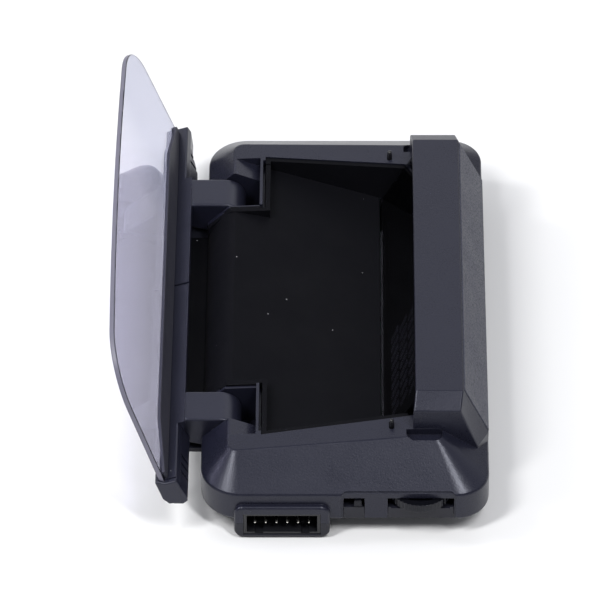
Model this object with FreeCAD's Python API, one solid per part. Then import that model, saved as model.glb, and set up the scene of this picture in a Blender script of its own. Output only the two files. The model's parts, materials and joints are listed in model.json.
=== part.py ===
import FreeCAD, Part
import math, os
from FreeCAD import Vector, Placement, Rotation

os.makedirs("parts", exist_ok=True)

# Dashboard head-up display with a flip-up combiner. Millimetres.
# +X: hood side (away from the combiner), +Y: across the unit, the controls
# and the socket are on -Y, +Z up. Origin: centre of the pad's underside.

# ---------------------------------------------------------------- dimensions
PAD_T = 1.0                      # non-slip pad under the hull
BX0, BX1 = -33.5, 34.4           # skirt, left and right
BY = 62.9                        # skirt half width
Z_SK0, Z_SK1 = 5.0, 13.0         # skirt bottom and top
R_SK = (9.6, 7.8)                # skirt corner radii, left and right
WALL = 1.8
R_IN = (R_SK[0] - WALL, R_SK[1] - WALL)
RIM_Z, RIM_TILT = 20.6, 0.047    # rim plane: z = RIM_Z + RIM_TILT * x
TOP_Z = 23.0                     # height the four slopes are drawn to
TX0, TX1, TY = -23.4, 20.4, 49.5 # slope outline at TOP_Z

HOOD_X0, HOOD_X1, HOOD_Z = 17.0, 28.2, 29.5
HOOD_Y0, HOOD_Y1 = 44.5, 49.1    # flat top half width, and with the chamfer
HOOD_CH = 2.4                    # chamfer drop
REAR_Z = 15.9                    # foot of the sloping rear face

PIV_X, PIV_Z = -29.2, 13.2       # combiner hinge axis, parallel to Y
KNUCKLE_R = 5.0
PIN_R, RUN_CLR = 1.5, 0.05
LEAN = 18.1                      # the open combiner leans outward by this
ARM_Y0, ARM_Y1 = 33.0, 42.7      # the two hinge arms
POC_Y0, POC_Y1 = 32.4, 43.4      # hinge pockets
POC_X1 = -20.6
POC_Z0 = 7.8
POC_WALL = 1.2

GLASS_T = 1.25                   # combiner panel
GLASS_IN = -10.70                # its inner face, from the axis, along the normal
GLASS_S0, GLASS_S1 = 2.2, 43.9   # foot and free edge, from the axis, up the panel
GLASS_BOW = 1.4                  # rise of the free edge at its middle
GLASS_Y0, GLASS_Y1 = 62.2, 59.2  # half widths at the foot and the free edge
GLASS_R = 15.0                   # free corners

FLOOR_A = (-26.4, 18.7)          # projection recess floor, high end
FLOOR_B = (9.0, 10.5)            # low end, at the window's foot
WIN_TOP = (17.3, 26.3)
LINER_T = 1.2

SOC_X0, SOC_X1 = -25.6, -3.05    # socket block
SOC_Z0, SOC_Z1 = 0.3, 10.1
SOC_Y = -64.2
HDR_X0, HDR_X1, HDR_Z0, HDR_Z1 = -23.4, -5.3, 1.3, 7.9
PITCH = 2.54

DIAL_X, DIAL_R, DIAL_Y = 18.2, 7.6, -56.9
DIAL_Z0, DIAL_Z1 = 8.95, 11.15
DN_X0, DN_X1 = 10.5, 26.1        # dial notch
SW_X0, SW_X1 = 0.1, 5.1          # switch notch
CTRL_Z0, CTRL_Z1 = 8.7, 11.5     # both openings

SCREWS = ((26.2, 52.4), (26.8, -47.4), (-24.2, 52.4), (-23.0, -49.4))

# ------------------------------------------------------------------- helpers
def box(x0, x1, y0, y1, z0, z1):
    return Part.makeBox(x1 - x0, y1 - y0, z1 - z0, Vector(x0, y0, z0))

def cyl(x, y, z, r, h, d=(0, 0, 1)):
    return Part.makeCylinder(r, h, Vector(x, y, z), Vector(*d))

def rrect_wire(x0, x1, y0, y1, r, z):
    # r: one radius, or (left, right)
    l, r = r if isinstance(r, tuple) else (r, r)
    q = 1 - math.sqrt(0.5)
    k, m = r * q, l * q
    P = lambda x, y: Vector(x, y, z)
    e = [Part.LineSegment(P(x0 + l, y0), P(x1 - r, y0)),
         Part.Arc(P(x1 - r, y0), P(x1 - k, y0 + k), P(x1, y0 + r)),
         Part.LineSegment(P(x1, y0 + r), P(x1, y1 - r)),
         Part.Arc(P(x1, y1 - r), P(x1 - k, y1 - k), P(x1 - r, y1)),
         Part.LineSegment(P(x1 - r, y1), P(x0 + l, y1)),
         Part.Arc(P(x0 + l, y1), P(x0 + m, y1 - m), P(x0, y1 - l)),
         Part.LineSegment(P(x0, y1 - l), P(x0, y0 + l)),
         Part.Arc(P(x0, y0 + l), P(x0 + m, y0 + m), P(x0 + l, y0))]
    return Part.Wire([g.toShape() for g in e])

def rprism(x0, x1, y0, y1, r, z0, z1):
    return Part.Face(rrect_wire(x0, x1, y0, y1, r, z0)).extrude(Vector(0, 0, z1 - z0))

def frustum(a, za, b, zb):
    return Part.makeLoft([rrect_wire(*a, za), rrect_wire(*b, zb)], True, True)

def poly_face(pts):
    v = [Vector(*p) for p in pts]
    return Part.Face(Part.makePolygon(v + [v[0]]))

def prism_xz(pts, y0, y1):
    return poly_face([(x, y0, z) for x, z in pts]).extrude(Vector(0, y1 - y0, 0))

def prism_xy(pts, z0, z1):
    return poly_face([(x, y, z0) for x, y in pts]).extrude(Vector(0, 0, z1 - z0))

def round_edges(shape, pick, radii):
    # rounds the picked edges with the first radius that gives a sound solid
    edges = [e for e in shape.Edges if pick(e)]
    for r in radii:
        try:
            t = shape.makeFillet(r, edges)
        except Exception:
            continue
        if t.isValid() and len(t.Solids) == len(shape.Solids) and t.Volume > 0.8 * shape.Volume:
            return t
    print("edges left sharp:", len(edges))
    return shape

def on_y(e, y):
    return abs(e.BoundBox.YMin - y) < 1e-3 and abs(e.BoundBox.YMax - y) < 1e-3

def mirror_y(s):
    return s.mirror(Vector(0, 0, 0), Vector(0, 1, 0))

def fuse(*s):
    r = s[0]
    if len(s) > 1:
        r = r.fuse(list(s[1:]))
    return r.removeSplitter()

def group(*s):
    return Part.makeCompound(list(s))

def solids(s):
    return Part.makeCompound(s.Solids)

NODES = {}
def put(name, shape):
    NODES[name] = shape
    shape.exportStep("parts/%s.step" % name)
    sol = shape.Solids
    print("%-22s solids %2d  vol %9.1f  valid %s" % (name, len(sol), sum(q.Volume for q in sol), shape.isValid()))

# lid coordinates: s up the open panel, t along its inward normal, from the axis
SA, CA = math.sin(math.radians(LEAN)), math.cos(math.radians(LEAN))
def lid(s, t):
    return (PIV_X - SA * s + CA * t, PIV_Z + CA * s + SA * t)

def lid_prism(st, y0, y1):
    return prism_xz([lid(s, t) for s, t in st], y0, y1)

def above_rim(off=0.0):
    z = lambda x: RIM_Z + RIM_TILT * x + off
    return prism_xz([(-60, z(-60)), (60, z(60)), (60, 80), (-60, 80)], -90, 90)

# --------------------------------------------------------------- upper case
def hood_block(inset):
    i = inset
    a = [(HOOD_X0 + i, 8), (HOOD_X0 + i, HOOD_Z - i), (HOOD_X1 - i * 0.55, HOOD_Z - i),
         (BX1 - i, REAR_Z - i * 0.3), (BX1 - i, 8)]
    b = [(HOOD_X0 - 0.5 + i, 8), (HOOD_X0 - 0.5 + i, HOOD_Z - HOOD_CH - i),
         (HOOD_X1 - 0.6 - i * 0.55, HOOD_Z - HOOD_CH - i), (31.8 - i, 15.5 - i * 0.3), (31.8 - i, 8)]
    mid = prism_xz(a, -(HOOD_Y0 - i * 0.4), HOOD_Y0 - i * 0.4)
    ends = []
    for sg in (1, -1):
        wa = Part.makePolygon([Vector(x, sg * (HOOD_Y0 - i * 0.4), z) for x, z in a + a[:1]])
        wb = Part.makePolygon([Vector(x, sg * (HOOD_Y1 - i), z) for x, z in b + b[:1]])
        ends.append(Part.makeLoft([wa, wb], True, True))
    return mid.fuse(ends)

slab = rprism(BX0, BX1, -BY, BY, R_SK, Z_SK0, Z_SK1)
# the slopes meet the rim in nearly sharp corners, so each corner is a cone
def slope_at(z):
    k = (z - Z_SK1) / (TOP_Z - Z_SK1)
    return (BX0 + (TX0 - BX0) * k, BX1 + (TX1 - BX1) * k, -BY + (BY - TY) * k, BY - (BY - TY) * k)
slopes = frustum((BX0, BX1, -BY, BY, R_SK), Z_SK1, (*slope_at(20.2), (1.5, 2.0)), 20.2)
slopes = slopes.fuse(frustum((*slope_at(20.2), (1.5, 2.0)), 20.2, (*slope_at(TOP_Z), (0.9, 0.9)), TOP_Z))
body = slab.fuse(slopes).cut(above_rim()).removeSplitter()
def body_edge(e):
    if e.BoundBox.ZMax < Z_SK0 + 0.01 or (e.BoundBox.ZMin > Z_SK1 - 0.01 and e.BoundBox.ZMax < Z_SK1 + 0.01):
        return True
    return all(abs(v.Z - RIM_Z - RIM_TILT * v.X) < 0.01 for v in e.Vertexes)
plain = body
body = round_edges(body, body_edge, (0.8, 0.6, 0.45))
hood = hood_block(0).common(box(0, 60, -70, 70, Z_SK1 - 2, 60)).removeSplitter()
def hood_edge(e):
    b = e.BoundBox
    if b.ZMin < 15.4 or e.Length < 2 or b.ZMax < 16.5:
        return False
    return not (b.XMax < HOOD_X0 + 0.01 and b.ZMax - b.ZMin > 5)
hood = round_edges(hood, hood_edge, (0.5, 0.4, 0.3))
hood = round_edges(hood, lambda e: e.BoundBox.ZMax < 16.2 and e.BoundBox.ZMin > 15.3 and e.BoundBox.XMax > 34 and e.Length > 4, (0.4, 0.25))
outer = fuse(body, hood)

in_sk = rprism(BX0 + WALL, BX1 - WALL, -BY + WALL, BY - WALL, R_IN, Z_SK0 - 1, Z_SK1 - 0.6)
in_sl = frustum((BX0 + WALL, BX1 - WALL, -BY + WALL, BY - WALL, R_IN), Z_SK1 - 0.6,
                (TX0 + 1.5, TX1 - 1.6, -TY + 1.7, TY - 1.7, 1.6), TOP_Z - 0.6)
in_sl = in_sl.cut(above_rim(-1.6))
in_hood = hood_block(WALL).common(box(0, 60, -70, 70, Z_SK1 - 3, 60))
shell = outer.cut(in_sk.fuse([in_sl, in_hood]))

# hinge pockets: a walled box on each side, open to the left and above
pockets = []
for sg in (1, -1):
    pb = box(-34.5, POC_X1 + POC_WALL, POC_Y0 - POC_WALL, POC_Y1 + POC_WALL, POC_Z0 - 1.0, 24)
    pb = pb.common(outer)
    pockets.append(pb if sg > 0 else mirror_y(pb))
case = shell.fuse(pockets)
cuts = []
for sg in (1, -1):
    c = box(-45, POC_X1, POC_Y0, POC_Y1, POC_Z0, 40)
    # facet that falls from the land to the pocket's inner corner
    f = poly_face([(-26.6, 43.3, 19.35), (-20.55, 43.3, 16.8), (-20.55, 43.3, 24), (-26.6, 43.3, 24)]).extrude(Vector(0, 5.6, 0))
    hole = cyl(PIV_X, 28, PIV_Z, PIN_R + 0.02, 18.2, (0, 1, 0))
    g = c.fuse([f, hole])
    cuts.append(g if sg > 0 else mirror_y(g))

# projection recess: opening in the rim and in the hood's front
OPEN = [(-19.3, -31.2), (-19.3, -49.25), (14.5, -44.8), (17.2, -44.3), (17.2, 44.3), (14.5, 44.8),
        (-19.3, 49.25), (-19.3, 31.2), (-40, 31.2), (-40, -31.2)]
cuts.append(prism_xy(OPEN, 7.0, 26.9))
cuts.append(box(16.0, 19.6, -43.6, 43.6, 7.0, 26.9))
# the pockets' inner walls thin down towards the rim
for sg in (1, -1):
    thin = box(POC_X1 + 0.7, -19.0, 30.8, 48.0, 5, 40).fuse(box(-34.5, -19.0, 30.8, POC_Y0 - 0.7, 5, 40)).common(above_rim(-2.4))
    thin = thin.fuse(box(-34.5, POC_X1, 30.8, POC_Y0 + 0.05, 5, 40).common(above_rim(-0.9)))
    cuts.append(thin if sg > 0 else mirror_y(thin))
# left wall between the pockets gives way to the bottom cover and the liner
cuts.append(box(-45, -31.0, -31.2, 31.2, 0, 30))
# slot for the bottom cover's ledge
cuts.append(box(-45, -29.0, -42.85, 42.85, 7.2, 8.75).common(box(-45, -31.2, -43, 43, 0, 20)))
# control openings, in a shallow recessed field
cuts.append(box(SW_X0, SW_X1, -70, -59, 0, CTRL_Z1))
cuts.append(box(DN_X0, DN_X1, -70, -59, 0, CTRL_Z1))
# slots of the two rubber stops
for sg in (1, -1):
    cuts.append(rprism(10.85, 12.05, sg * 47.6 - 1.35, sg * 47.6 + 1.35, 0.55, 18.6, 24))
# recess beside the hood's ends, with rounded outer corners
for sg in (1, -1):
    r = rprism(14.9, 23.4, 46, 52.4, 1.9, 19.5, 22.5)
    r = r.cut(box(10, 30, 40, 49.15, 15, 30))
    cuts.append(r if sg > 0 else mirror_y(r))
# socket block's upper half grows out of the skirt
sb = rprism(SOC_X0, SOC_X1, SOC_Z0, SOC_Z1, 2.2, 0, 3.4)
sb.rotate(Vector(0, 0, 0), Vector(1, 0, 0), 90)
sb.translate(Vector(0, SOC_Y + 3.4, 0))
sb = round_edges(sb, lambda e: on_y(e, SOC_Y), (0.7, 0.5))
sock_up = sb.common(box(-60, 60, -70, -50, Z_SK0, 20))
cuts.append(box(HDR_X0 - 0.05, HDR_X1 + 0.05, -70, -59, 0, HDR_Z1 + 0.05))
case = case.fuse(sock_up)
# shallow field round the controls, 0.6 mm below the skirt and the slope's foot
fld = poly_face([(-0.5, -66, 4), (-0.5, -62.3, 4), (-0.5, -62.3, 13.0), (-0.5, -61.1, 13.9), (-0.5, -66, 13.9)])
fr = rprism(-0.5, 26.5, -20, 13.55, 1.3, 0, 12)
fr.rotate(Vector(0, 0, 0), Vector(1, 0, 0), 90)
fr.translate(Vector(0, -56, 0))
cuts.append(fld.extrude(Vector(27.0, 0, 0)).common(fr))
# floor under the recesses beside the hood's ends
thick = [box(13.6, 24.6, 45.5, 53.4, 17.9, 20.2).common(outer), box(13.6, 24.6, -53.4, -45.5, 17.9, 20.2).common(outer)]
# and under the facets beside the pockets
thick += [box(-27.6, -19.25, 44.0, 49.6, 14.9, 18.9).common(outer), box(-27.6, -19.25, -49.6, -44.0, 14.9, 18.9).common(outer)]
case = case.fuse(thick)
case = case.cut(cuts)
# screw bosses
bosses = []
for x, y in SCREWS:
    b = cyl(x, y, 6.6, 2.6, 9.0).cut(cyl(x, y, 5, 1.0, 8.5))
    bosses.append(b.common(outer))
ribs = []
case = case.fuse(bosses)
case = max(case.Solids, key=lambda q: q.Volume)

# rear panel: separate textured plate let into the sloping rear face
nx, nz = (HOOD_Z - REAR_Z), (BX1 - HOOD_X1)
nl = math.hypot(nx, nz); nx, nz = nx / nl, nz / nl
def rear(u, d):
    # u: 0 at the hood's edge, 1 at the foot; d: depth below the surface
    return (HOOD_X1 + (BX1 - HOOD_X1) * u - nx * d, HOOD_Z + (REAR_Z - HOOD_Z) * u - nz * d)
def rear_plate(u0, u1, d0, d1, ya, yb):
    def w(d):
        (xa, za), (xb, zb) = rear(u0, d), rear(u1, d)
        return Part.makePolygon([Vector(xa, -ya, za), Vector(xa, ya, za), Vector(xb, yb, zb), Vector(xb, -yb, zb), Vector(xa, -ya, za)])
    return Part.makeLoft([w(d0), w(d1)], True, True)
plate = rear_plate(0.035, 0.985, -0.25, 0.75, 43.9, 44.4)
plate = round_edges(plate, lambda e: all(abs((v.X - HOOD_X1) * nx + (v.Z - HOOD_Z) * nz - 0.25) < 0.02 for v in e.Vertexes), (0.25, 0.15))
NODES_CASE = case.cut(rear_plate(0.03, 0.99, -1.0, 0.80, 43.95, 44.45))
case = max(NODES_CASE.Solids, key=lambda q: q.Volume)
put("upper_case", case)
put("rear_panel", plate)

# ------------------------------------------------------------- bottom cover
flange = rprism(BX0 + WALL + 0.15, BX1 - WALL - 0.15, -BY + WALL + 0.15, BY - WALL - 0.15, (R_IN[0] - 0.15, R_IN[1] - 0.15), Z_SK0, 6.4)
hull = frustum((-26.3, 27.2, -55.7, 55.7, 5.0), PAD_T, (-27.5, 28.4, -56.9, 56.9, 6.0), Z_SK0)
tray_in = rprism(-25.9, 26.8, -55.2, 55.2, 4.0, 2.6, 8)
cov = fuse(flange, hull).cut(tray_in)
ledge = box(-40.0, -32.6, -42.6, 42.6, 7.4, 8.6).fuse(box(-33.4, -30.0, -30.9, 30.9, 7.4, 8.6))
ledge_wall = box(-33.4, -31.6, -30.9, 30.9, 5.2, 8.6).fuse(box(-33.4, -30.0, -30.9, 30.9, 5.0, 6.4))
tab_d = box(DN_X0 + 0.12, DN_X1 - 0.12, -BY + 0.6, -60.6, Z_SK0, CTRL_Z0 - 0.1)
tab_d = tab_d.cut(cyl(DIAL_X, DIAL_Y, 8.2, DIAL_R + 1.2, 3))
tab_s = box(SW_X0 + 0.12, SW_X1 - 0.12, -BY + 0.6, -60.6, Z_SK0, CTRL_Z0 - 0.1)
sock_lo = sb.common(box(-60, 60, -70, -50, -2, Z_SK0 - 0.06))
sock_web = box(SOC_X0 + 1.5, SOC_X1 - 1.5, SOC_Y + 3.3, -56.0, 1.1, Z_SK0 - 0.06)
cov = fuse(cov, ledge_wall, tab_d, tab_s, sock_lo, sock_web)
cov = cov.cut([box(HDR_X0 - 0.05, HDR_X1 + 0.05, -70, -54, HDR_Z0 - 0.05, 12), box(SOC_X0 - 0.1, SOC_X1 + 0.1, -62, -60.7, Z_SK0 - 0.05, 7)])
for x, y in SCREWS:
    b = cyl(x, y, PAD_T, 3.1, 5.45)
    cov = cov.fuse(b).cut([cyl(x, y, 0, 1.25, 12), cyl(x, y, 0, 2.3, PAD_T + 1.9)])
cov = cov.fuse(ledge)
cov = max(cov.Solids, key=lambda q: q.Volume)
put("bottom_cover", cov)

pad = rprism(-23.5, 24.4, -48.5, 48.5, 4.0, 0, PAD_T)
put("non_slip_pad", pad)

scr = []
for x, y in SCREWS:
    s = cyl(x, y, 1.35, 2.1, 1.5).fuse(cyl(x, y, 2.8, 0.98, 9.0))
    cross = box(x - 1.2, x + 1.2, y - 0.22, y + 0.22, 1.2, 2.0).fuse(box(x - 0.22, x + 0.22, y - 1.2, y + 1.2, 1.2, 2.0))
    scr.append(s.cut(cross))
put("case_screws", group(*scr))

# ------------------------------------------------------------- cavity liner
top_line = [(-33.3, 8.9), (-33.1, 10.8), (-32.3, 13.0), (-31.0, 15.2), (-29.3, 17.2), (-27.9, 18.3), FLOOR_A, FLOOR_B]
T = LINER_T
bot_line = [(FLOOR_B[0], FLOOR_B[1] - T), (FLOOR_A[0], FLOOR_A[1] - T - 0.15), (-27.3, 17.1), (-28.5, 16.2), (-30.0, 14.4), (-31.1, 12.5), (-31.8, 10.6), (-32.0, 8.9)]
PL = [(-19.2, -31.1), (-19.2, -49.15), (14.45, -44.7), (16.9, -44.25), (16.9, 44.25), (14.45, 44.7), (-19.2, 49.15), (-19.2, 31.1), (-36, 31.1), (-36, -31.1)]
PI = [(-18.0, -29.9), (-18.0, -47.8), (14.35, -43.5), (20, -43.0), (20, 43.0), (14.35, 43.5), (-18.0, 47.8), (-18.0, 29.9), (-40, 29.9), (-40, -29.9)]
def spline(pts, y):
    c = Part.BSplineCurve()
    c.interpolate([Vector(x, y, z) for x, z in pts])
    return c.toShape()
def line(a, b, y):
    return Part.makeLine(Vector(a[0], y, a[1]), Vector(b[0], y, b[1]))
sec = Part.Wire([spline(top_line[:-1], -60), line(top_line[-2], top_line[-1], -60), line(top_line[-1], bot_line[0], -60),
                 line(bot_line[0], bot_line[1], -60), spline(bot_line[1:], -60), line(bot_line[-1], top_line[0], -60)])
sheet = Part.Face(sec).extrude(Vector(0, 120, 0)).common(prism_xy(PL, 0, 40))
walls = prism_xy(PL, 7, 21.0).cut(prism_xy(PI, 5, 30))
below = prism_xz([(-60, 0), (-60, 8.9)] + top_line + [(9.2, 10.45), (9.3, 8.2), (17, 8.2), (30, 8.2), (30, 0)], -60, 60)
walls = walls.cut(below).cut(above_rim(-0.25))
for sg in (1, -1):
    # beside the pockets the side walls stay just below the rim and thicken towards the case's thin edge
    low = box(-34.5, -17.0, 29.0, 46.9, 5, 40).common(above_rim(-0.5))
    walls = walls.cut(low if sg > 0 else mirror_y(low))
    thick = box(-34.0, POC_X1 + 0.6, 31.0, 31.62, 5, 40).common(above_rim(-2.3)).cut(above_rim(-0.5)).cut(below)
    walls = walls.fuse(thick if sg > 0 else mirror_y(thick))
walls = walls.common(body.fuse(box(10, 20, -46, 46, 5, 21)))
# the sides stop behind the window, and stay inside the hood's chamfer
# a thin lip carries the black sheet on over the ledge, under the bar
liner = sheet.fuse([walls, box(-39.8, -32.4, -30.9, 30.9, 8.6, 9.2)])
liner = liner.cut([box(15.4, 30, -60, 60, 20.4, 40)])
liner = liner.cut(case)
liner = max(liner.Solids, key=lambda q: q.Volume)
put("cavity_liner", liner)

# ------------------------------------------------- window and display stack
wdx, wdz = WIN_TOP[0] - FLOOR_B[0], WIN_TOP[1] - FLOOR_B[1]
wl = math.hypot(wdx, wdz); wdx, wdz = wdx / wl, wdz / wl
def win(a, d):
    # a: up the window, d: behind it (towards the hood)
    return (FLOOR_B[0] + 0.15 + wdx * a + wdz * d, FLOOR_B[1] + wdz * a - wdx * d)
def win_slab(a0, a1, d0, d1, hy):
    return prism_xz([win(a0, d0), win(a1, d0), win(a1, d1), win(a0, d1)], -hy, hy)
put("display_window", win_slab(-0.3, wl - 0.1, 0.15, 1.35, 43.2))
bez = win_slab(-1.2, wl - 0.3, 1.4, 2.2, 42.7).cut(win_slab(2.0, wl - 2.4, 1.0, 3.0, 38.0))
put("display_bezel", bez)
disp = win_slab(0.6, wl - 1.2, 2.25, 4.45, 40.5)
put("display_panel", disp)
segs = []
for i in range(9):
    for j in range(3):
        y0 = -37.0 + i * 4.4 + j * 0.0
        p = [(-36.5 + i * 3.2 + 2.1 * k, 3.0 + 4.3 * j + 3.4 * k) for k in (0, 1)]
        a0, a1 = p[0][1], p[1][1]
        ya, yb = p[0][0], p[1][0]
        def P(a, d, y):
            x, z = win(a, d)
            return Vector(x, y, z)
        w = Part.makePolygon([P(a0, 2.02, ya), P(a1, 2.02, yb), P(a1, 2.02, yb + 1.5), P(a0, 2.02, ya + 1.5), P(a0, 2.02, ya)])
        n = Vector(wdz, 0, -wdx) * 0.2
        segs.append(Part.Face(w).extrude(n))
put("display_segments", group(*segs))
back = win_slab(0.4, wl - 1.4, 4.5, 6.6, 41.0).cut(win_slab(1.6, wl - 2.6, 5.2, 9.0, 39.6))
put("display_backlight", back)
hold = win_slab(-0.6, 1.6, 6.7, 8.2, 41.0)
brd = win_slab(0.8, wl - 4.4, 6.75, 7.75, 39.0)
put("display_board", brd)
drv = [win_slab(3.0, 7.0, 7.8, 8.8, 4.0), win_slab(3.6, 6.4, 7.8, 8.7, 2.0).translated(Vector(0, 16, 0)), win_slab(3.6, 6.4, 7.8, 8.7, 2.0).translated(Vector(0, -16, 0))]
put("display_driver_chips", group(*drv))

# ---------------------------------------------------------------- mainboard
MB_Z0, MB_Z1 = 2.9, 4.2
mb = rprism(-25.3, 26.2, -54.3, 54.6, 2.0, MB_Z0, MB_Z1)
mb = mb.cut([cyl(x, y, 0, 3.5, 12) for x, y in SCREWS])
put("main_board", mb)
Z = MB_Z1 + 0.05
put("processor", rprism(-8, 4, -8, 4, 0.4, Z, Z + 1.4))
put("memory_chips", group(box(8, 13, -9, 0, Z, Z + 1.1), box(-16, -11, 8, 14, Z, Z + 1.1), box(7.5, 12.5, 6, 12, Z, Z + 1.1)))
put("voltage_regulator", fuse(box(-12, -5.5, -30, -21, Z, Z + 2.2), box(-5.5, -3.0, -27.5, -23.5, Z, Z + 0.6)))
caps = [cyl(x, y, Z, r, h).cut(cyl(x, y, Z + h - 0.25, r * 0.6, 0.5)) for x, y, r, h in ((-13, -38, 3.1, 5.6), (-5, -38, 3.1, 5.6), (-13, 22, 2.4, 4.8))]
put("capacitors", group(*caps))
put("inductor", rprism(0.0, 7.0, -31, -24, 1.2, Z, Z + 3.0))
put("buzzer", cyl(-8, 36, Z, 5.5, 4.2).cut(cyl(-8, 36, Z + 3.6, 0.9, 2)))

# ------------------------------------------------------------------- socket
hdr = box(HDR_X0, HDR_X1, SOC_Y + 0.25, -54.9, HDR_Z0, HDR_Z1)
hdr = hdr.cut([box(HDR_X0 + 0.75, HDR_X1 - 0.75, -70, -57.4, HDR_Z0 + 0.7, HDR_Z1 - 0.6),
               box(HDR_X0 + 2.6, HDR_X0 + 4.6, -70, -60.4, HDR_Z0 + 0.25, HDR_Z0 + 1.0),
               box(HDR_X1 - 4.6, HDR_X1 - 2.6, -70, -60.4, HDR_Z0 + 0.25, HDR_Z0 + 1.0)])
PXC, PZC, PW = (HDR_X0 + HDR_X1) / 2, 4.62, 0.64
pins, holes = [], []
for i in range(6):
    x = PXC + (i - 2.5) * PITCH
    p = box(x - PW / 2, x + PW / 2, -62.9, -52.6, PZC - PW / 2, PZC + PW / 2)
    tip = Part.makeLoft([Part.makePolygon([Vector(x + a * h, y, PZC + b * h) for a, b in ((-1, -1), (1, -1), (1, 1), (-1, 1), (-1, -1))])
                         for y, h in ((-62.9, PW / 2), (-63.45, 0.16))], True, True)
    pins.append(p.fuse(tip).removeSplitter())
    holes.append(box(x - PW / 2 - 0.01, x + PW / 2 + 0.01, -60, -50, PZC - PW / 2 - 0.01, PZC + PW / 2 + 0.01))
put("socket_header", hdr.cut(holes))
put("socket_pins", group(*pins))

# ------------------------------------------------------------ slide switch
swb = box(-2.4, 7.4, -59.0, -55.2, 7.2, 12.2)
swb = swb.cut([box(-0.9, 5.2, -61, -56.4, 9.1, 11.1)])
sw_posts = box(-2.2, 7.2, -58.8, -55.4, 6.45, 7.2)
put("switch_body", swb.fuse(sw_posts).removeSplitter())
put("switch_terminals", group(*[fuse(box(x - 0.3, x + 0.3, -55.15, -53.7, 7.6, 8.0), box(x - 0.3, x + 0.3, -54.1, -53.7, 4.25, 7.8)) for x in (0.0, 2.5, 5.0)]))
kn = box(1.2, 4.8, -58.6, -56.6, 9.25, 10.95).fuse(box(2.65, 4.35, -62.75, -58.6, 9.2, 11.0))
kn = kn.cut([box(2.95 + 0.5 * i, 3.15 + 0.5 * i, -63, -62.45, 9, 11.2) for i in range(3)])
put("switch_slider", kn.removeSplitter())

# -------------------------------------------------------------- thumb dial
dial = cyl(DIAL_X, DIAL_Y, DIAL_Z0, DIAL_R, DIAL_Z1 - DIAL_Z0)
teeth = []
for i in range(48):
    a = 2 * math.pi * (i + 0.5) / 48
    teeth.append(cyl(DIAL_X + (DIAL_R + 0.12) * math.cos(a), DIAL_Y + (DIAL_R + 0.12) * math.sin(a), DIAL_Z0 - 1, 0.28, 5))
dial = dial.cut(teeth)
dial = dial.cut([cyl(DIAL_X, DIAL_Y, DIAL_Z1 - 0.6, 6.1, 1), cyl(DIAL_X, DIAL_Y, 5, 1.0 + RUN_CLR, 12)])
put("thumb_dial", dial)
car = cyl(DIAL_X, DIAL_Y, 7.4, 3.2, 1.2).fuse([cyl(DIAL_X, DIAL_Y, 7.4, 1.0, 4.6), box(DIAL_X - 2.6, DIAL_X + 2.6, DIAL_Y, -50.6, 7.4, 8.6)])
put("dial_carrier", car.removeSplitter())
enc = box(DIAL_X - 4.4, DIAL_X + 4.4, -50.0, -45.4, 4.25, 8.75)
enc = enc.cut(box(DIAL_X - 2.8, DIAL_X + 2.8, -51, -46.6, 7.2, 9.5))
gd = [box(DIAL_X - 4.4, DIAL_X + 4.4, -60.0, -50.0, 6.45, 7.2)]
put("dial_encoder", fuse(enc, *gd))

# ----------------------------------------------------------------- combiner
# panel: nearly straight sides, wide rounded free corners and a bowed free edge
f = Placement(Vector(PIV_X, 0, PIV_Z), Rotation(Vector(0, 1, 0), -LEAN))
def panel_wire(t, grow=0.0):
    s0, s1, y0, y1, r = GLASS_S0, GLASS_S1, GLASS_Y0, GLASS_Y1, GLASS_R
    pts = [Vector(t, y0, s0), Vector(t, y1 + (y0 - y1) * 0.0, s1)]
    dy, ds = (y1 - y0), (s1 - 8.2)
    A = Vector(t, y0, s0); A2 = Vector(t, y0, 8.2); B = Vector(t, y1, s1)
    d = (B - A2); L = d.Length; d.normalize()
    # tangent length of the rounded corner between the slanted edge and the free edge
    ang = math.acos(d.dot(Vector(0, 1, 0)) * -1)
    half = (math.pi - (math.pi - ang)) / 2
    tl = r * math.tan((math.pi - (math.pi - math.acos(d.dot(Vector(0, -1, 0))))) / 2)
    P1 = B - d * tl
    P2 = B + Vector(0, -1, 0) * tl
    bis = (P1 + P2) * 0.5 - B
    n1 = Vector(0, -d.z, d.y)
    if n1.y > 0: n1 = n1 * -1
    C = P1 + n1 * r
    M = C + (B - C).normalize() * r
    edges = [Part.LineSegment(A, A2), Part.LineSegment(A2, P1), Part.Arc(P1, M, P2)]
    m = lambda v: Vector(v.x, -v.y, v.z)
    edges += [Part.Arc(P2, Vector(t, 0, s1 + GLASS_BOW), m(P2)), Part.Arc(m(P2), m(M), m(P1)), Part.LineSegment(m(P1), m(A2)), Part.LineSegment(m(A2), m(A)), Part.LineSegment(m(A), A)]
    return Part.Wire([e.toShape() for e in edges])
glass = Part.Face(panel_wire(GLASS_IN - GLASS_T)).extrude(Vector(GLASS_T, 0, 0))
glass = round_edges(glass, lambda e: abs(e.BoundBox.XMax - e.BoundBox.XMin) < 1e-6, (0.3, 0.2))
glass.Placement = f.multiply(glass.Placement)
put("combiner_panel", glass)

G0, G1 = GLASS_IN - GLASS_T - 0.05, GLASS_IN + 0.05
section = [(1.2, G0 - 0.85), (8.4, G0 - 0.85), (8.4, G0), (GLASS_S0 - 0.05, G0), (GLASS_S0 - 0.05, G1), (7.4, G1),
           (7.4, -6.3), (1.6, -6.3), (0.2, -7.3), (-0.1, -9.0)]
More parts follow.
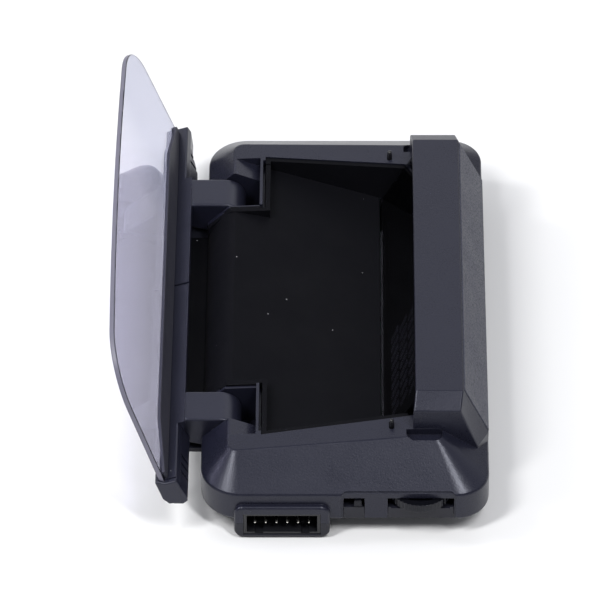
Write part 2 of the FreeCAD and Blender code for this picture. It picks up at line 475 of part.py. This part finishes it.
# the bar: a wide top face between the arms, undercut below; beyond the arms
# a narrow top face and a sloping grip face
foot = [(8.4, G0 - 0.85), (2.6, G0 - 0.85), (0.7, G0 + 0.1)]
hull_mid = [(8.4, G0 - 0.02), (7.4, G1 + 0.02), (7.4, -6.3), (6.6, -6.3), (1.4, -8.7), (0.3, -9.4)]
hull_end = [(8.4, G0 - 0.02), (7.4, G1 + 0.02), (7.4, -7.9), (5.6, -7.6), (1.0, -8.6), (0.3, -9.4)]
bar = lid_prism(foot[::-1] + hull_end, -63.0, 63.0)
bar = round_edges(bar, lambda e: e.Length > 100 or on_y(e, 63.0) or on_y(e, -63.0), (0.4, 0.3, 0.2))
bar = bar.fuse(lid_prism(foot[::-1] + hull_mid, -43.4, 43.4))
slot = lid_prism([(GLASS_S0 - 0.05, G0), (12, G0), (12, G1), (GLASS_S0 - 0.05, G1)], -62.3, 62.3)
bar = bar.cut([slot, lid_prism([(7.4, G1 - 0.01), (12, G1 - 0.01), (12, -2), (7.4, -2)], -70, 70)])
# arms
arm_pts = [(-38.6, 17.85), (-37.0, 18.2), (PIV_X, PIV_Z + KNUCKLE_R), (PIV_X, PIV_Z - KNUCKLE_R + 0.6), (-33.5, 9.6), (-37.2, 10.6), (-39.6, 12.4)]
arms = []
for a, b in ((ARM_Y0, ARM_Y1), (-ARM_Y1, -ARM_Y0)):
    arm = fuse(prism_xz(arm_pts, a, b), cyl(PIV_X, a, PIV_Z, KNUCKLE_R, b - a, (0, 1, 0)))
    arms.append(round_edges(arm, lambda e: (on_y(e, a) or on_y(e, b)) and e.Length > 0.5, (0.6, 0.45, 0.3)))
# finger grips at both ends: a sloping face with three upright grooves
grips = []
ex, ez = lid(7.0, -7.9)
for sg in (1, -1):
    g = prism_xz([(ex - 0.6, ez - 0.3), (ex, ez - 0.05), (-36.4, 12.3), (-36.4, 11.1), (-37.2, 10.35), (-39.6, 10.35), (-40.0, 12.0)], 42.6, 62.9)
    if sg > 0:
        # tapered at the end away from the socket
        g = g.cut(poly_face([(-36.0, 51.0, 5), (-36.35, 51.0, 5), (-38.9, 60.2, 5), (-38.9, 64, 5), (-36.0, 64, 5)]).extrude(Vector(0, 0, 20)))
    g = round_edges(g, lambda e: e.BoundBox.XMin > -39.3 and e.Length > 0.6, (0.35, 0.25, 0.15))
    for i in range(3):
        y0 = 51.6 + i * 2.6
        rb = prism_xz([(ex + 0.15, ez - 1.0), (ex + 3.5, ez - 1.0), (-35, 9), (-37.7, 11.6)], y0, y0 + 0.85)
        g = g.cut(rb)
    grips.append(g if sg > 0 else mirror_y(g))
frame = fuse(bar, *(arms + grips))
frame = frame.cut([cyl(PIV_X, -50, PIV_Z, PIN_R + RUN_CLR, 100, (0, 1, 0))])
# parting groove across the bar
frame = frame.cut(lid_prism([(6.9, -11.5), (8.0, -11.5), (8.0, -6.0), (6.9, -6.0)], 4.6, 5.2).cut(lid_prism([(0, -14), (9, -14), (9, G1), (0, G1)], 0, 10)))
frame = frame.cut(lid_prism([(7.0, -10.4), (8.0, -10.4), (8.0, -7.0), (7.0, -7.0)], -61.75, -61.4))
frame = max(frame.Solids, key=lambda q: q.Volume)
frame = frame.cut(glass)
frame = max(frame.Solids, key=lambda q: q.Volume)
put("combiner_frame", frame)

# clamp strip along the foot of the panel's inner face, lower towards its ends
def lidv(s, t, y):
    x, z = lid(s, t)
    return Vector(x, y, z)
cs = [(7.45, 61.2), (9.6, 61.2), (13.9, 47.0)]
w = Part.makePolygon([lidv(s, GLASS_IN + 0.06, y) for s, y in cs] + [lidv(s, GLASS_IN + 0.06, -y) for s, y in reversed(cs)] + [lidv(cs[0][0], GLASS_IN + 0.06, cs[0][1])])
strip = Part.Face(w).extrude(Vector(CA * 0.75, 0, SA * 0.75))
strip = round_edges(strip, lambda e: all(abs((v.X - PIV_X) * CA + (v.Z - PIV_Z) * SA - GLASS_IN - 0.81) < 0.02 for v in e.Vertexes), (0.25, 0.15))
put("clamp_strip", strip)

# screws through the back of the frame into its front wall
ls = []
for y in (-54, -22, 22, 54):
    a = lidv(4.6, G0 - 0.95, y)
    d = Vector(CA, 0, SA)
    ls.append((y, a, d))
cuts2, cutg, scr2 = [], [], []
for y, a, d in ls:
    cuts2.append(Part.makeCylinder(1.0, 5.0, a - d * 0.5, d))
    head = Part.makeCylinder(1.7, 0.7, a - d * 0.65, d)
    sh = Part.makeCylinder(0.95, 5.0, a - d * 0.1, d)
    x1 = Part.makeBox(2.0, 0.4, 0.5, Vector(-1.0, -0.2, -0.05)); x2 = Part.makeBox(0.4, 2.0, 0.5, Vector(-0.2, -1.0, -0.05))
    cr = x1.fuse(x2); cr.Placement = Placement(a - d * 0.65, Rotation(Vector(0, 0, 1), d))
    scr2.append(head.fuse(sh).removeSplitter().cut(cr))
    cutg.append(Part.makeCylinder(1.2, 4.0, a - d * 0.5, d))
frame = frame.cut([Part.makeCylinder(0.98, 5.6, a - d * 0.5, d) for y, a, d in ls])
put("combiner_frame", max(frame.Solids, key=lambda q: q.Volume))
put("combiner_panel", max(glass.cut(cutg).Solids, key=lambda q: q.Volume))
put("clamp_screws", group(*scr2))

# ------------------------------------------------------------------- hinge
pins2, wash = [], []
for a, b in ((POC_Y0 - POC_WALL + 0.1, POC_Y1 + POC_WALL), (-POC_Y1 - POC_WALL, -POC_Y0 + POC_WALL - 0.1)):
    pins2.append(cyl(PIV_X, a, PIV_Z, PIN_R, b - a, (0, 1, 0)))
for y0 in (42.85, -43.3):
    wash.append(cyl(PIV_X, y0, PIV_Z, 2.6, 0.45, (0, 1, 0)).cut(cyl(PIV_X, y0 - 1, PIV_Z, PIN_R + 0.03, 3, (0, 1, 0))))
put("hinge_pins", group(*pins2))
put("friction_washers", group(*wash))

# rubber stops the closed panel rests beside
st = []
for sg in (1, -1):
    s = rprism(10.95, 11.95, sg * 47.6 - 0.75, sg * 47.6 + 0.75, 0.48, 18.9, 22.6)
    top = Part.makeSphere(0.62, Vector(11.45, sg * 47.6, 22.45))
    base = rprism(10.95, 11.95, sg * 47.6 - 1.2, sg * 47.6 + 1.2, 0.48, 18.9, 19.9)
    st.append(s.fuse([top.common(box(10.95, 11.95, sg * 47.6 - 0.75, sg * 47.6 + 0.75, 22, 24)), base]).removeSplitter())
put("rubber_stops", group(*st))
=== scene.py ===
import bpy, bmesh, json, math, random
from mathutils import Vector, Matrix

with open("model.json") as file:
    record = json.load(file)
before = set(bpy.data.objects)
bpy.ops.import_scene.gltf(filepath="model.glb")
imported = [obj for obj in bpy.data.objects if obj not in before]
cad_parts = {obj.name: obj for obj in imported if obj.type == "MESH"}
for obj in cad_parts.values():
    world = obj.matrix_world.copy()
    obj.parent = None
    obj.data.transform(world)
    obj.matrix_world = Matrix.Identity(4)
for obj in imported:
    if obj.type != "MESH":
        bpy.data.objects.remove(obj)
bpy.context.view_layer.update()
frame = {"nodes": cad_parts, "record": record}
NODES = frame["nodes"]
MM = 0.001
random.seed(7)

# ------------------------------------------------------------------ materials
def new_mat(name):
    m = bpy.data.materials.new(name)
    m.use_nodes = True
    nt = m.node_tree
    nt.nodes.clear()
    out = nt.nodes.new("ShaderNodeOutputMaterial")
    b = nt.nodes.new("ShaderNodeBsdfPrincipled")
    nt.links.new(b.outputs[0], out.inputs[0])
    return m, nt, b, out

def coords(nt, scale=(1, 1, 1), rot=(0, 0, 0), loc=(0, 0, 0)):
    tc = nt.nodes.new("ShaderNodeTexCoord")
    mp = nt.nodes.new("ShaderNodeMapping")
    mp.inputs["Scale"].default_value = scale
    mp.inputs["Rotation"].default_value = rot
    mp.inputs["Location"].default_value = loc
    nt.links.new(tc.outputs["Object"], mp.inputs[0])
    return mp.outputs[0]

def noise(nt, vec, size_mm, detail=2.0, rough=0.5, distort=0.0):
    n = nt.nodes.new("ShaderNodeTexNoise")
    n.inputs["Scale"].default_value = 1.0 / (size_mm * MM)
    n.inputs["Detail"].default_value = detail
    n.inputs["Roughness"].default_value = rough
    n.inputs["Distortion"].default_value = distort
    nt.links.new(vec, n.inputs["Vector"])
    return n.outputs["Fac"] if "Fac" in n.outputs else n.outputs[0]

def voronoi(nt, vec, size_mm, feature="F1", rand=1.0, out="Distance"):
    n = nt.nodes.new("ShaderNodeTexVoronoi")
    n.feature = feature
    n.inputs["Scale"].default_value = 1.0 / (size_mm * MM)
    n.inputs["Randomness"].default_value = rand
    nt.links.new(vec, n.inputs["Vector"])
    return n.outputs[out]

def math_(nt, op, a, b=None, clamp=False):
    n = nt.nodes.new("ShaderNodeMath")
    n.operation = op
    n.use_clamp = clamp
    for i, v in enumerate((a, b)):
        if v is None:
            continue
        if isinstance(v, (int, float)):
            n.inputs[i].default_value = v
        else:
            nt.links.new(v, n.inputs[i])
    return n.outputs[0]

def remap(nt, v, a, b, c, d, smooth=False):
    n = nt.nodes.new("ShaderNodeMapRange")
    n.interpolation_type = "SMOOTHSTEP" if smooth else "LINEAR"
    n.inputs["From Min"].default_value = a
    n.inputs["From Max"].default_value = b
    n.inputs["To Min"].default_value = c
    n.inputs["To Max"].default_value = d
    nt.links.new(v, n.inputs["Value"])
    return n.outputs[0]

def mix_col(nt, fac, a, b):
    n = nt.nodes.new("ShaderNodeMix")
    n.data_type = "RGBA"
    for key, v in (("Factor", fac), ("A", a), ("B", b)):
        sock = [s for s in n.inputs if s.name == key and (s.type == ("RGBA" if key != "Factor" else "VALUE"))][0]
        if isinstance(v, (tuple, list)):
            sock.default_value = (*v[:3], 1)
        elif isinstance(v, (int, float)):
            sock.default_value = v
        else:
            nt.links.new(v, sock)
    return [s for s in n.outputs if s.type == "RGBA"][0]

def bevel_normal(nt, radius_mm, samples=4):
    n = nt.nodes.new("ShaderNodeBevel")
    n.samples = samples
    n.inputs["Radius"].default_value = radius_mm * MM
    return n.outputs[0]

def edge_mask(nt, radius_mm, lo=0.03, hi=0.25):
    # 1 along the edges, 0 on the flats; the materials lighten the colour there, partly as rubbing wear and partly as a
    # painted highlight
    bn = bevel_normal(nt, radius_mm)
    g = nt.nodes.new("ShaderNodeNewGeometry")
    d = nt.nodes.new("ShaderNodeVectorMath")
    d.operation = "DOT_PRODUCT"
    nt.links.new(bn, d.inputs[0])
    nt.links.new(g.outputs["Normal"], d.inputs[1])
    return remap(nt, math_(nt, "SUBTRACT", 1.0, d.outputs["Value"]), lo, hi, 0.0, 1.0, True), bn

def bump(nt, height, strength, dist_mm, normal=None):
    n = nt.nodes.new("ShaderNodeBump")
    n.inputs["Strength"].default_value = strength
    n.inputs["Distance"].default_value = dist_mm * MM
    nt.links.new(height, n.inputs["Height"])
    if normal is not None:
        nt.links.new(normal, n.inputs["Normal"])
    return n.outputs[0]

def mul_col(c, k):
    return tuple(min(1.0, x * k) for x in c)

def plastic(name, base, rough=0.42, grain=0.35, depth=0.02, strength=0.25, var=0.12, patch=14, wear_and_highlight=0.35,
            wear_and_highlight_col=None, edge=0.30, spec=0.5, rough_var=0.08, dust=0.0, metallic=0.0, scratches=0.0, edge_r=0.0,
            dust_size=5.0, dust_lim=0.035, tint=None):
    """Moulded plastic: spark-eroded grain, patchy sheen, lighter edges that are partly rubbing wear and partly a
    painted highlight, and specks of dust.
    """
    m, nt, b, out = new_mat(name)
    v = coords(nt)
    big = noise(nt, v, patch, 3, 0.55)
    fine = noise(nt, v, grain, 2.5, 0.6)
    micro = noise(nt, v, grain * 0.4, 1.0, 0.5)
    mask, bn = edge_mask(nt, edge)
    mask = math_(nt, "MULTIPLY", mask, remap(nt, noise(nt, v, 1.6, 4, 0.65), 0.35, 0.7, 0.15, 1.0), True)
    col = mix_col(nt, big, mul_col(base, 1 - var), mul_col(base, 1 + var))
    col = mix_col(nt, remap(nt, fine, 0.2, 0.8, 0.0, 0.35), col, mul_col(base, 1 + 2.2 * var))
    # edges lightened in colour: partly rubbing wear, partly a painted highlight
    col = mix_col(nt, math_(nt, "MULTIPLY", mask, wear_and_highlight), col, wear_and_highlight_col or mul_col(base, 2.4))
    r = remap(nt, big, 0.3, 0.7, rough - rough_var, rough + rough_var)
    r = math_(nt, "ADD", r, remap(nt, micro, 0.2, 0.8, -0.05, 0.05))
    r = math_(nt, "SUBTRACT", r, math_(nt, "MULTIPLY", mask, 0.10), True)
    if dust > 0:
        cell = voronoi(nt, v, dust_size)
        pick = nt.nodes.new("ShaderNodeTexVoronoi")
        pick.inputs["Scale"].default_value = 1.0 / (dust_size * MM)
        nt.links.new(v, pick.inputs["Vector"])
        sep = nt.nodes.new("ShaderNodeSeparateColor")
        nt.links.new(pick.outputs["Color"], sep.inputs[0])
        speck = math_(nt, "MULTIPLY", math_(nt, "LESS_THAN", cell, dust_lim), math_(nt, "LESS_THAN", sep.outputs[0], dust), True)
        col = mix_col(nt, math_(nt, "MULTIPLY", speck, 0.85), col, (0.62, 0.62, 0.66))
        r = math_(nt, "ADD", r, math_(nt, "MULTIPLY", speck, 0.4), True)
    h = math_(nt, "ADD", fine, math_(nt, "MULTIPLY", micro, 0.4))
    if scratches > 0:
        sv = coords(nt, scale=(1, 0.03, 1), rot=(0.2, 0.1, 0.7))
        sc = noise(nt, sv, 0.5, 2, 0.5)
        h = math_(nt, "SUBTRACT", h, math_(nt, "MULTIPLY", remap(nt, sc, 0.68, 0.72, 0, 1), scratches))
    nt.links.new(col, b.inputs["Base Color"])
    nt.links.new(r, b.inputs["Roughness"])
    if edge_r > 0:
        bn2 = bevel_normal(nt, edge_r)
        nt.links.new(bump(nt, h, strength, depth, bn2), b.inputs["Normal"])
    else:
        nt.links.new(bump(nt, h, strength, depth), b.inputs["Normal"])
    b.inputs["Specular IOR Level"].default_value = spec
    if tint:
        b.inputs["Specular Tint"].default_value = (*tint, 1)
    b.inputs["Metallic"].default_value = metallic
    return m

def leather(name, base, rough=0.5, cell=0.85):
    """Fine moulded leather grain on the rear plate."""
    m, nt, b, out = new_mat(name)
    v = coords(nt)
    warp = nt.nodes.new("ShaderNodeTexNoise")
    warp.inputs["Scale"].default_value = 900
    warp.inputs["Detail"].default_value = 2
    nt.links.new(v, warp.inputs["Vector"])
    vm = nt.nodes.new("ShaderNodeVectorMath"); vm.operation = "MULTIPLY_ADD"
    nt.links.new(warp.outputs["Color"], vm.inputs[0])
    vm.inputs[1].default_value = (0.0005, 0.0005, 0.0005)
    nt.links.new(v, vm.inputs[2])
    w = vm.outputs[0]
    c1 = voronoi(nt, w, cell, "DISTANCE_TO_EDGE")
    c2 = voronoi(nt, w, cell * 0.45, "DISTANCE_TO_EDGE")
    big = noise(nt, v, 9, 3, 0.6)
    fine = noise(nt, v, 0.18, 2, 0.6)
    crease = remap(nt, c1, 0.0, 0.16, 0.0, 1.0, True)
    small = remap(nt, c2, 0.0, 0.2, 0.0, 1.0, True)
    h = math_(nt, "ADD", math_(nt, "MULTIPLY", crease, 1.0), math_(nt, "MULTIPLY", small, 0.35))
    h = math_(nt, "ADD", h, math_(nt, "MULTIPLY", fine, 0.25))
    mask, bn = edge_mask(nt, 0.25)
    # painted shade: the creases of the grain are darkened in colour
    col = mix_col(nt, crease, mul_col(base, 0.62), mul_col(base, 1.08))
    col = mix_col(nt, remap(nt, big, 0.3, 0.7, 0.0, 0.5), col, mul_col(base, 1.35))
    col = mix_col(nt, math_(nt, "MULTIPLY", mask, 0.3), col, mul_col(base, 2.0))
    r = remap(nt, crease, 0, 1, rough + 0.12, rough - 0.04)
    r = math_(nt, "ADD", r, remap(nt, big, 0.3, 0.7, -0.05, 0.05), True)
    nt.links.new(col, b.inputs["Base Color"])
    nt.links.new(r, b.inputs["Roughness"])
    nt.links.new(bump(nt, h, 0.55, 0.06), b.inputs["Normal"])
    b.inputs["Specular Tint"].default_value = (0.84, 0.86, 1.0, 1)
    b.inputs["Specular IOR Level"].default_value = 0.5
    return m

LEAN = math.radians(18.1)
PANEL_N = (math.cos(LEAN), 0.0, math.sin(LEAN))

def acrylic(name):
    """Smoke-tinted acrylic of the combiner: clear faces with faint waviness and wiping marks, and fine-ground edges.
    Lamps' rays pass the faces with the acrylic's tint."""
    m, nt, b, out = new_mat(name)
    v = coords(nt)
    big = noise(nt, v, 22, 2, 0.5)
    col = mix_col(nt, big, (0.655, 0.645, 0.760), (0.675, 0.665, 0.775))
    # painted shade: the tint is darkened towards the end away from the socket
    sy = nt.nodes.new("ShaderNodeSeparateXYZ")
    nt.links.new(v, sy.inputs[0])
    painted_shade_far_end = remap(nt, sy.outputs["Y"], 0.016, 0.038, 0.0, 1.0)
    col = mix_col(nt, painted_shade_far_end, col, (0.490, 0.500, 0.625))
    b.inputs["Transmission Weight"].default_value = 1.0
    b.inputs["IOR"].default_value = 1.49
    nt.links.new(col, b.inputs["Base Color"])
    smear = noise(nt, coords(nt, scale=(1, 0.25, 1), rot=(0.3, 0, 0)), 5, 3, 0.6)
    nt.links.new(remap(nt, smear, 0.5, 0.85, 0.0, 0.03), b.inputs["Roughness"])
    nt.links.new(bump(nt, noise(nt, v, 18, 1, 0.5), 0.02, 0.02), b.inputs["Normal"])
    tr = nt.nodes.new("ShaderNodeBsdfTransparent")
    tr.inputs[0].default_value = (0.70, 0.69, 0.80, 1)
    lp = nt.nodes.new("ShaderNodeLightPath")
    mx = nt.nodes.new("ShaderNodeMixShader")
    nt.links.new(lp.outputs["Is Shadow Ray"], mx.inputs[0])
    nt.links.new(b.outputs[0], mx.inputs[1])
    nt.links.new(tr.outputs[0], mx.inputs[2])
    # ground edge: found from the face's direction against the panel's own normal
    e = nt.nodes.new("ShaderNodeBsdfPrincipled")
    fine = noise(nt, coords(nt, scale=(1, 0.15, 1)), 0.25, 2, 0.6)
    nt.links.new(mix_col(nt, fine, (0.115, 0.112, 0.150), (0.155, 0.150, 0.200)), e.inputs["Base Color"])
    nt.links.new(remap(nt, fine, 0.2, 0.8, 0.28, 0.45), e.inputs["Roughness"])
    nt.links.new(bump(nt, fine, 0.3, 0.01), e.inputs["Normal"])
    tc = nt.nodes.new("ShaderNodeTexCoord")
    d = nt.nodes.new("ShaderNodeVectorMath"); d.operation = "DOT_PRODUCT"
    nt.links.new(tc.outputs["Normal"], d.inputs[0])
    d.inputs[1].default_value = PANEL_N
    face = math_(nt, "ABSOLUTE", d.outputs["Value"])
    mk = remap(nt, face, 0.35, 0.85, 1.0, 0.0)
    mx2 = nt.nodes.new("ShaderNodeMixShader")
    nt.links.new(mk, mx2.inputs[0])
    nt.links.new(mx.outputs[0], mx2.inputs[1])
    nt.links.new(e.outputs[0], mx2.inputs[2])
    nt.links.new(mx2.outputs[0], out.inputs[0])
    return m

def smoked(name):
    """Near-black polished window over the display: it lets a little through, so the bars behind it show faintly."""
    m, nt, b, out = new_mat(name)
    v = coords(nt)
    big = noise(nt, v, 16, 2, 0.5)
    col = mix_col(nt, big, (0.14, 0.14, 0.165), (0.16, 0.16, 0.185))
    nt.links.new(col, b.inputs["Base Color"])
    b.inputs["Transmission Weight"].default_value = 1.0
    b.inputs["IOR"].default_value = 1.49
    smear = noise(nt, coords(nt, scale=(1, 0.3, 1), rot=(0.5, 0, 0)), 4, 3, 0.6)
    nt.links.new(remap(nt, smear, 0.4, 0.8, 0.03, 0.11), b.inputs["Roughness"])
    nt.links.new(bump(nt, noise(nt, v, 9, 1, 0.5), 0.04, 0.02), b.inputs["Normal"])
    tr = nt.nodes.new("ShaderNodeBsdfTransparent")
    tr.inputs[0].default_value = (0.15, 0.15, 0.17, 1)
    lp = nt.nodes.new("ShaderNodeLightPath")
    mx = nt.nodes.new("ShaderNodeMixShader")
    nt.links.new(lp.outputs["Is Shadow Ray"], mx.inputs[0])
    nt.links.new(b.outputs[0], mx.inputs[1])
    nt.links.new(tr.outputs[0], mx.inputs[2])
    nt.links.new(mx.outputs[0], out.inputs[0])
    return m

def metal(name, base, rough=0.3, brush=(1, 1, 0.05), size=0.12, var=0.12, depth=0.004, tarnish=None):
    m, nt, b, out = new_mat(name)
    v = coords(nt)
    bv = coords(nt, scale=brush)
    lines = noise(nt, bv, size, 3, 0.6)
    big = noise(nt, v, 2.5, 3, 0.6)
    col = mix_col(nt, lines, mul_col(base, 1 - var), mul_col(base, 1 + var))
    col = mix_col(nt, remap(nt, big, 0.5, 0.75, 0, 0.5), col, tarnish or mul_col(base, 0.6))
    r = math_(nt, "ADD", remap(nt, lines, 0.2, 0.8, rough - 0.08, rough + 0.08), remap(nt, big, 0.4, 0.7, 0, 0.1), True)
    nt.links.new(col, b.inputs["Base Color"])
    nt.links.new(r, b.inputs["Roughness"])
    nt.links.new(bump(nt, lines, 0.2, depth), b.inputs["Normal"])
    b.inputs["Metallic"].default_value = 1.0
    return m

def board(name):
    """Green solder mask with faint copper tracks beneath it."""
    m, nt, b, out = new_mat(name)
    v = coords(nt)
    br = nt.nodes.new("ShaderNodeTexBrick")
    br.inputs["Scale"].default_value = 520
    br.inputs["Color1"].default_value = (0.010, 0.085, 0.040, 1)
    br.inputs["Color2"].default_value = (0.014, 0.105, 0.050, 1)
    br.inputs["Mortar"].default_value = (0.030, 0.190, 0.085, 1)
    br.inputs["Mortar Size"].default_value = 0.03
    nt.links.new(v, br.inputs["Vector"])
    big = noise(nt, v, 7, 3, 0.6)
    col = mix_col(nt, remap(nt, big, 0.45, 0.55, 0, 0.8), (0.011, 0.092, 0.043), br.outputs["Color"])
    nt.links.new(col, b.inputs["Base Color"])
    nt.links.new(remap(nt, big, 0.3, 0.7, 0.28, 0.42), b.inputs["Roughness"])
    nt.links.new(bump(nt, br.outputs["Fac"], 0.3, 0.03), b.inputs["Normal"])
    return m

CASE = (0.0100, 0.0105, 0.0190)
SHEEN = (0.86, 0.88, 1.0)
M = {
    # each plastic's lighter edge colour is partly rubbing wear and partly a painted edge highlight; on the case and the
    # control it is set brighter to paint the bright edge lines and the arcs on the dial
    "case": plastic("case_plastic", CASE, rough=0.30, grain=0.50, depth=0.050, strength=0.55, dust=0.10, dust_size=4.5,
                    dust_lim=0.030, edge_r=0.12, spec=0.38, wear_and_highlight=0.40, wear_and_highlight_col=(0.055, 0.057, 0.075), rough_var=0.02, var=0.13, tint=SHEEN),
    "lid": plastic("lid_plastic", mul_col(CASE, 1.12), rough=0.32, grain=0.42, depth=0.025, strength=0.25, dust=0.05, dust_size=4.5,
                   dust_lim=0.03, edge_r=0.12, spec=0.42, wear_and_highlight=0.25, rough_var=0.03, tint=SHEEN),
    "grain": leather("rear_grain", (0.026, 0.027, 0.042)),
    "cover": plastic("cover_plastic", (0.0105, 0.011, 0.018), rough=0.42, grain=0.30, depth=0.02, strength=0.25, scratches=0.6, spec=0.32,
                     edge_r=0.10),
    "pad": plastic("pad_rubber", (0.014, 0.014, 0.015), rough=0.72, grain=0.9, depth=0.10, strength=0.5, wear_and_highlight=0.5, dust=0.4,
                   dust_size=2.2, dust_lim=0.05),
    "screw": metal("screw_black", (0.16, 0.16, 0.17), 0.34, brush=(1, 1, 1), size=0.2, tarnish=(0.05, 0.05, 0.055)),
    "liner": plastic("liner_flock", (0.0027, 0.0028, 0.0042), rough=0.75, grain=0.16, depth=0.03, strength=0.35, wear_and_highlight=0.25,
                     spec=0.08, dust=0.50, dust_size=3.8, dust_lim=0.034, edge_r=0.10),
    "strip": plastic("strip_plastic", (0.034, 0.034, 0.045), rough=0.50, grain=0.22, depth=0.02, strength=0.3, wear_and_highlight=0.3,
                     spec=0.3, edge_r=0.10, tint=SHEEN),
    "window": smoked("window_smoked"),
    "lcd": plastic("display_glass", (0.010, 0.010, 0.013), rough=0.18, grain=0.6, depth=0.004, strength=0.1, wear_and_highlight=0.1),
    "segment": plastic("display_bars", (0.40, 0.40, 0.43), rough=0.35, grain=0.2, depth=0.01, strength=0.1, wear_and_highlight=0.1),
    "white": plastic("backlight_housing", (0.62, 0.62, 0.60), rough=0.5, grain=0.4, depth=0.01, strength=0.2, wear_and_highlight=0.1,
                     wear_and_highlight_col=(0.75, 0.75, 0.73)),
    "pcb": board("board_mask"),
    "chip": plastic("chip_resin", (0.016, 0.016, 0.017), rough=0.48, grain=0.12, depth=0.012, strength=0.35, wear_and_highlight=0.3),
    "can": metal("can_aluminium", (0.58, 0.58, 0.60), 0.26, brush=(1, 1, 0.06), size=0.1),
    "connector": plastic("connector_nylon", (0.0075, 0.0078, 0.010), rough=0.38, grain=0.2, depth=0.01, strength=0.15, wear_and_highlight=0.3,
                         edge_r=0.08),
    "pin": metal("pin_tinned", (0.80, 0.78, 0.72), 0.20, brush=(1, 0.05, 1), size=0.08, tarnish=(0.62, 0.58, 0.48)),
    "pin_steel": metal("pin_ground_steel", (0.50, 0.50, 0.52), 0.24, brush=(1, 0.05, 1), size=0.08),
    "control": plastic("control_plastic", (0.0035, 0.0037, 0.0055), rough=0.20, spec=0.30, grain=0.22, depth=0.012, strength=0.2, wear_and_highlight=0.6,
                       wear_and_highlight_col=(0.030, 0.031, 0.042), edge=0.15, tint=SHEEN,
                       edge_r=0.06),
    "combiner": acrylic("combiner_acrylic"),
    "stop": plastic("stop_rubber", (0.008, 0.008, 0.010), rough=0.35, grain=0.3, depth=0.02, strength=0.3, wear_and_highlight=0.3),
}
SLOT = {r["node"]: r["material_slot"] for r in frame["record"]["subparts"]}
for n, o in NODES.items():
    key = SLOT.get(n, "case")
    if n == "combiner_frame":
        key = "lid"
    if n == "clamp_strip":
        key = "strip"
    if not o.data.materials:
        o.data.materials.append(None)
    for i in range(len(o.data.materials)):
        o.data.materials[i] = M[key]

# ------------------------------------------------------------------ floor
def floor():
    me = bpy.data.meshes.new("floor")
    bm = bmesh.new()
    s = 6.0
    vs = [bm.verts.new((x, y, -0.0)) for x, y in ((-s, -s), (s, -s), (s, s), (-s, s))]
    bm.faces.new(vs)
    bm.to_mesh(me); bm.free()
    o = bpy.data.objects.new("floor", me)
    bpy.context.scene.collection.objects.link(o)
    m, nt, b, out = new_mat("floor_paper")
    v = coords(nt)
    nt.links.new(mix_col(nt, noise(nt, v, 60, 2, 0.5), (0.77, 0.77, 0.772), (0.79, 0.79, 0.792)), b.inputs["Base Color"])
    b.inputs["Roughness"].default_value = 0.9
    b.inputs["Specular IOR Level"].default_value = 0.1
    me.materials.append(m)
floor()

# ------------------------------------------------------------------ light
world = bpy.data.worlds.new("studio")
bpy.context.scene.world = world
world.use_nodes = True
wt = world.node_tree
bg = wt.nodes["Background"]
# a studio room: bright behind the table, dim on the photographer's side
wc = wt.nodes.new("ShaderNodeTexCoord")
ws = wt.nodes.new("ShaderNodeSeparateXYZ")
wt.links.new(wc.outputs["Generated"], ws.inputs[0])
back = remap(wt, ws.outputs["Y"], -0.75, 0.75, 0.0, 1.0, True)
side = mix_col(wt, back, (0.13, 0.133, 0.145), (0.86, 0.87, 0.91))
low = remap(wt, ws.outputs["Z"], 0.05, 0.50, 0.0, 1.0, True)
side = mix_col(wt, low, (0.20, 0.203, 0.215), side)
zen = remap(wt, ws.outputs["Z"], 0.70, 0.97, 0.0, 1.0, True)
wt.links.new(mix_col(wt, zen, side, (0.33, 0.34, 0.38)), bg.inputs[0])
bg.inputs[1].default_value = 1.0

def area(name, direction, dist, size, power, col=(1, 1, 1), target=(0, 0, 0.015)):
    d = Vector(direction).normalized()
    l = bpy.data.lights.new(name, "AREA")
    l.shape = "RECTANGLE"
    l.size, l.size_y = size
    l.energy = power
    l.color = col
    o = bpy.data.objects.new(name, l)
    o.location = Vector(target) + d * dist
    o.rotation_euler = (-d).to_track_quat("-Z", "Y").to_euler()
    bpy.context.scene.collection.objects.link(o)
    return o

area("soft_right", (0.30, -0.39, 0.87), 1.3, (0.12, 0.50), 8)
area("soft_left", (-0.43, -0.32, 0.845), 1.3, (0.16, 0.50), 9)
area("soft_side", (-0.76, 0.10, 0.65), 1.4, (0.22, 0.50), 5)
area("soft_back", (0.05, 0.90, 0.40), 1.8, (1.8, 0.6), 3.0)
area("soft_front", (0.05, -0.84, 0.54), 1.7, (1.3, 0.05), 0.8)

# ------------------------------------------------------------------ camera
def camera():
    tilt, pan = math.radians(47.0), math.radians(-0.53)
    right0 = Vector((1, 0, 0))
    fwd0 = Vector((0, math.sin(tilt), -math.cos(tilt)))
    up = Vector((0, math.cos(tilt), math.sin(tilt)))
    right = math.cos(pan) * right0 - math.sin(pan) * fwd0
    fwd = math.sin(pan) * right0 + math.cos(pan) * fwd0
    c = bpy.data.cameras.new("cam")
    c.sensor_width = 36
    c.lens = 5471.0 / 600 * 36
    c.clip_start, c.clip_end = 0.05, 50
    o = bpy.data.objects.new("cam", c)
    mt = Matrix((right, up, -fwd)).transposed().to_4x4()
    mt.translation = Vector((1.8, -968.8, 920.4)) * MM
    o.matrix_world = mt
    bpy.context.scene.collection.objects.link(o)
    bpy.context.scene.camera = o
camera()
sc = bpy.context.scene
sc.view_settings.view_transform = "Standard"
sc.view_settings.look = "None"
